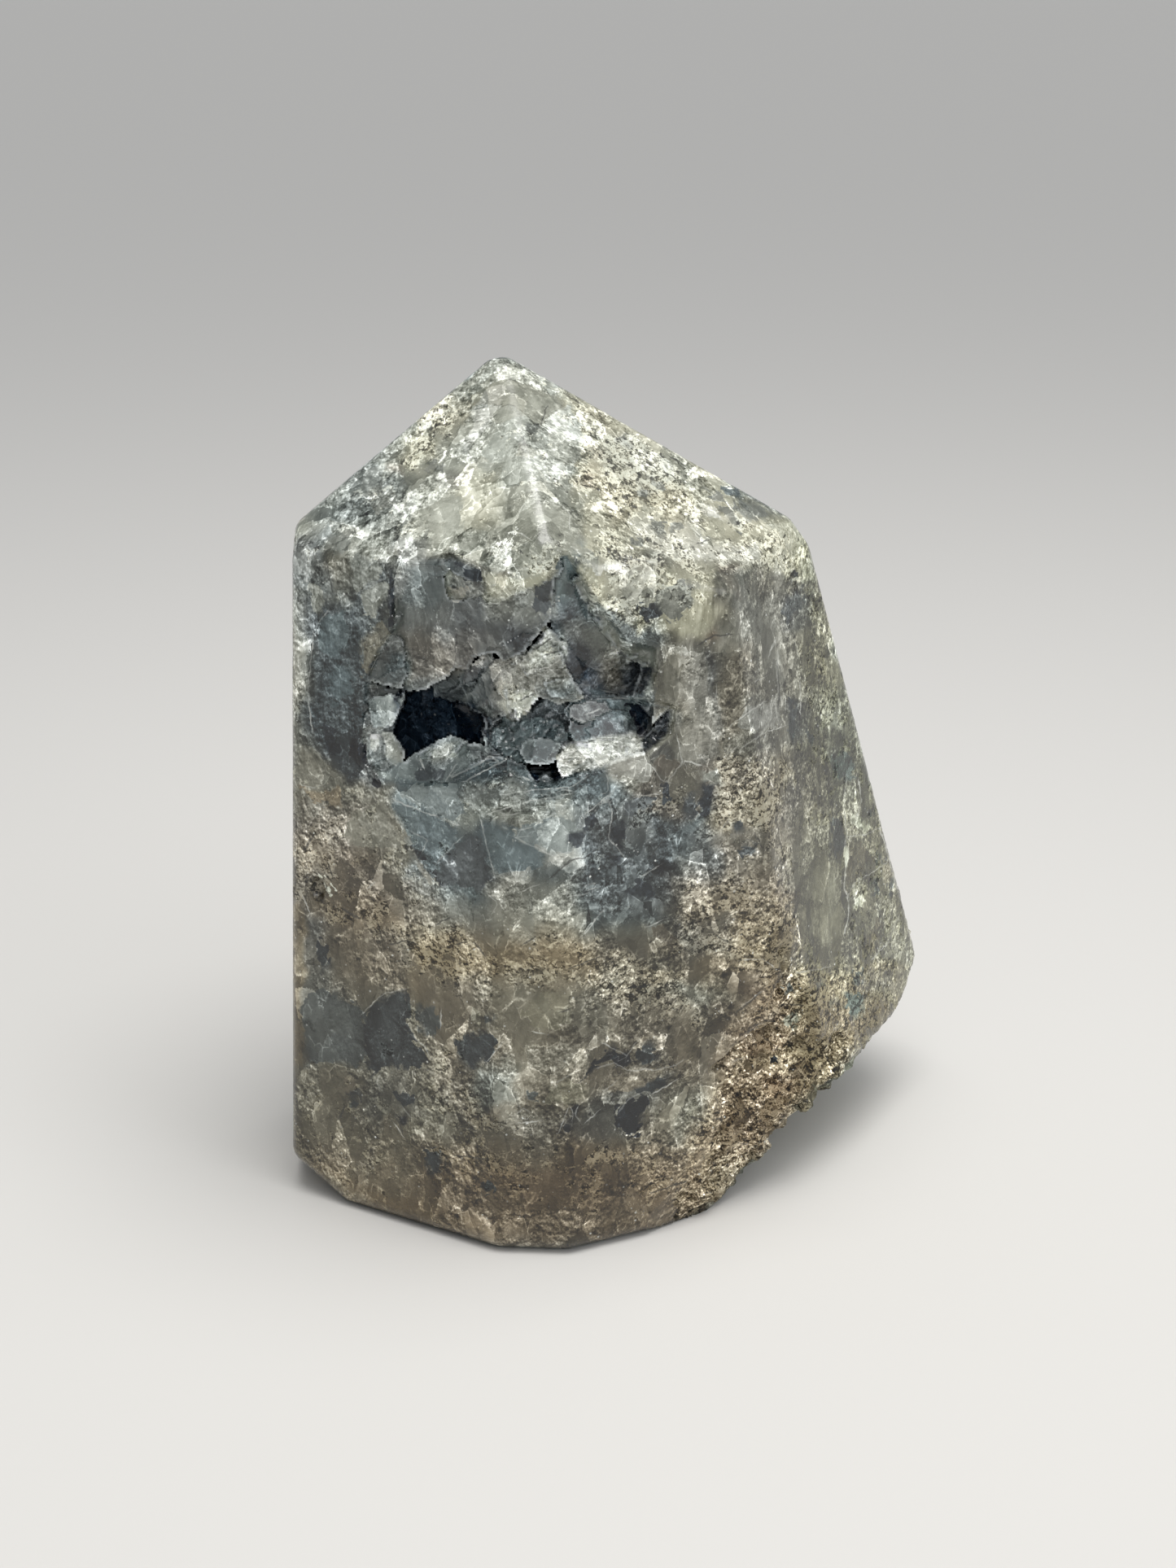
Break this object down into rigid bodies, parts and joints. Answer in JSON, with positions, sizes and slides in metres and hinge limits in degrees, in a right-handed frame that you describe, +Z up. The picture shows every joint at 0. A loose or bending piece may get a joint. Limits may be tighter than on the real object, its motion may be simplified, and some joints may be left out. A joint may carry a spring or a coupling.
{
  "type": "polished celestite crystal point with an open pocket",
  "caption": "Free-standing polished crystal point with a flat base, a crystal-lined open pocket in its front and a rough broken lower side.",
  "frame": {"origin": "middle of the bounding box at the level of the flat base", "axes": "+Z up along the point, -Y towards the viewer, out of the pocket"},
  "size_m": [0.1336, 0.0964, 0.1662],
  "materials": {
    "stone": "polished, mottled grey-blue and sandy",
    "pocket_crystals": "glassy crystal faces"
  },
  "bodies": {
    "root": {"stone": "stone", "pocket_crystals": "pocket_crystals"}
  },
  "joints": []
}
